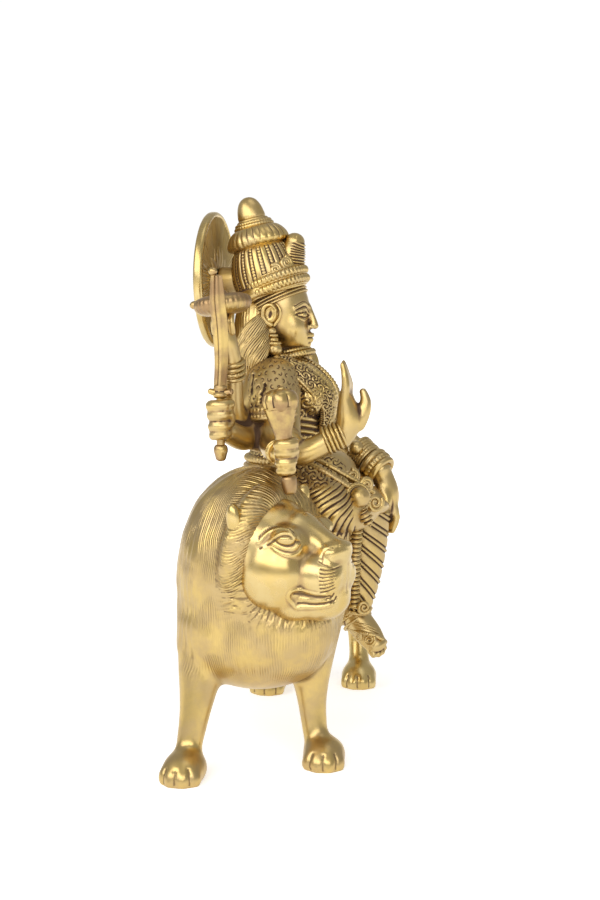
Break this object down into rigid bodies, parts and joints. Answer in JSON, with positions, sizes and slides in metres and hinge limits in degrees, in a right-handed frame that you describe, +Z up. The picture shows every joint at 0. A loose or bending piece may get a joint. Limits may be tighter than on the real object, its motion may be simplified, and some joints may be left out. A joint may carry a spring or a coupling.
{
  "type": "durga figure",
  "caption": "Cast brass goddess with many arms, riding side-saddle on a walking lion, with a round halo behind her tall crown.",
  "frame": {"origin": "on the ground, under the middle of the bounding box", "axes": "+Z up, the lion walks towards -X, the goddess faces -Y"},
  "size_m": [0.2166, 0.087, 0.2501],
  "materials": {
    "polished_brass": "satin polish, darker in the carved mane",
    "carved_brass": "polished high spots, brown patina in the carving",
    "halo_brass": "polished rim, dull fluted face"
  },
  "bodies": {
    "root": {"lion": "polished_brass", "goddess": "carved_brass", "halo": "halo_brass"}
  },
  "joints": []
}
